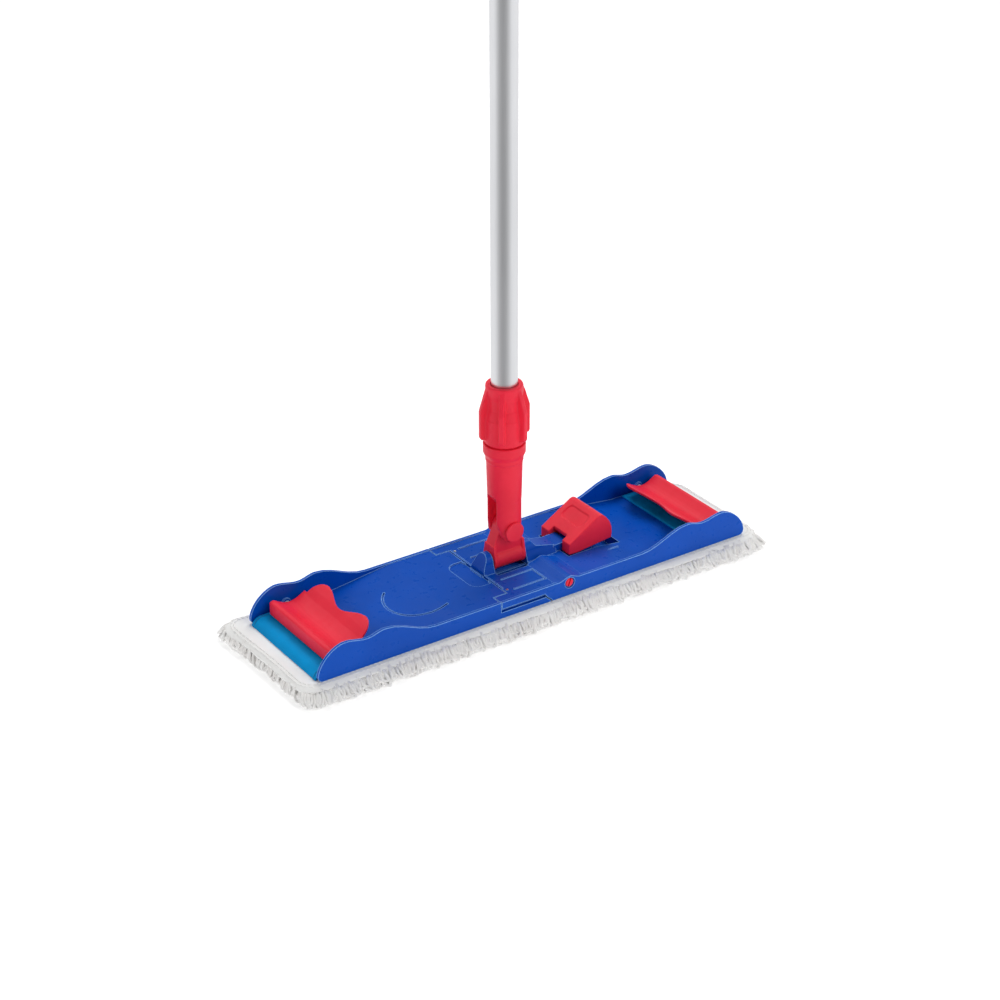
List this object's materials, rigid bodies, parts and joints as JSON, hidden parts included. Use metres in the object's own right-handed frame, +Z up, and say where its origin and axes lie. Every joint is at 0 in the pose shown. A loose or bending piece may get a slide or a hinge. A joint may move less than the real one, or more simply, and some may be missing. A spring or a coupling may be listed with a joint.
{
  "type": "flat mop",
  "caption": "Flat mop: folding two-wing plastic frame with pile cover, sprung end clamps, foot pedal, tilting handle joint and aluminium handle.",
  "frame": {"origin": "on the floor, under the middle of the cover", "axes": "+X along the frame to its pedal side, +Y to its far side, +Z up along the handle"},
  "size_m": [0.456, 0.152, 1.381],
  "materials": {
    "frame_plastic": "glossy moulded polypropylene",
    "red_plastic": "satin moulded plastic",
    "pale_plastic": "satin",
    "dark_plastic": "satin",
    "grip_plastic": "soft satin",
    "tube_aluminium": "satin anodised",
    "steel": "zinc plated",
    "tab_cloth": "woven",
    "pile_cloth": "looped pile"
  },
  "bodies": {
    "main_frame": {"main_wing": "frame_plastic", "fold_pins": "red_plastic", "seam_pins": "steel", "yoke_axle": "steel", "pedal_axle": "steel", "pedal_spring": "steel", "latch_spring": "steel", "right_clamp_axle": "steel", "right_clamp_springs": "steel", "right_tab": "tab_cloth", "right_cover": "pile_cloth"},
    "left_frame": {"left_wing": "frame_plastic", "left_clamp_axle": "steel", "left_clamp_springs": "steel", "left_tab": "tab_cloth", "left_cover": "pile_cloth"},
    "left_clamp": {"left_clamp": "red_plastic"},
    "right_clamp": {"right_clamp": "red_plastic"},
    "pedal": {"pedal": "red_plastic"},
    "latch": {"latch_bolt": "frame_plastic"},
    "yoke": {"yoke": "red_plastic"},
    "socket": {"handle_socket": "red_plastic", "joint_pin": "red_plastic", "clamping_sleeve": "pale_plastic"},
    "collar": {"lock_collar": "red_plastic"},
    "handle": {"handle_tube": "tube_aluminium", "tube_plug": "dark_plastic", "hand_grip": "grip_plastic", "hanging_cap": "red_plastic"}
  },
  "joints": [
    {"name": "wing_fold", "type": "hinge", "parent": "main_frame", "child": "left_frame", "pos_m": [0.0278, 0, 0.0275], "axis": [0, -1, 0], "range_deg": [0, 90]},
    {"name": "left_clamp_press", "type": "hinge", "parent": "left_frame", "child": "left_clamp", "pos_m": [-0.18, 0, 0.0262], "axis": [0, 1, 0], "range_deg": [0, 20], "stiffness_Nm_per_rad": 0.4, "springref_deg": -22.92},
    {"name": "right_clamp_press", "type": "hinge", "parent": "main_frame", "child": "right_clamp", "pos_m": [0.18, 0, 0.0262], "axis": [0, -1, 0], "range_deg": [0, 20], "stiffness_Nm_per_rad": 0.4, "springref_deg": -22.92},
    {"name": "pedal_press", "type": "hinge", "parent": "main_frame", "child": "pedal", "pos_m": [0.057, 0, 0.0335], "axis": [0, 1, 0], "range_deg": [0, 8], "stiffness_Nm_per_rad": 0.8, "springref_deg": -11.46, "deforming": ["pedal_spring"]},
    {"name": "latch_slide", "type": "slide", "parent": "main_frame", "child": "latch", "axis": [1, 0, 0], "range_m": [0, 0.0024], "deforming": ["latch_spring"]},
    {"name": "yoke_tilt", "type": "hinge", "parent": "main_frame", "child": "yoke", "pos_m": [0, 0, 0.038], "axis": [1, 0, 0], "range_deg": [-65, 65]},
    {"name": "socket_tilt", "type": "hinge", "parent": "yoke", "child": "socket", "pos_m": [0, 0, 0.0655], "axis": [0, 1, 0], "range_deg": [-65, 65]},
    {"name": "collar_twist", "type": "hinge", "parent": "socket", "child": "collar", "pos_m": [0, 0, 0.15], "axis": [0, 0, 1], "range_deg": [0, 90]},
    {"name": "handle_pull", "type": "slide", "parent": "socket", "child": "handle", "axis": [0, 0, 1], "range_m": [0, 0.1]}
  ],
  "couplings": [
    {"joint": "latch_slide", "follows": "pedal_press", "m_per_rad": 0.0167}
  ]
}
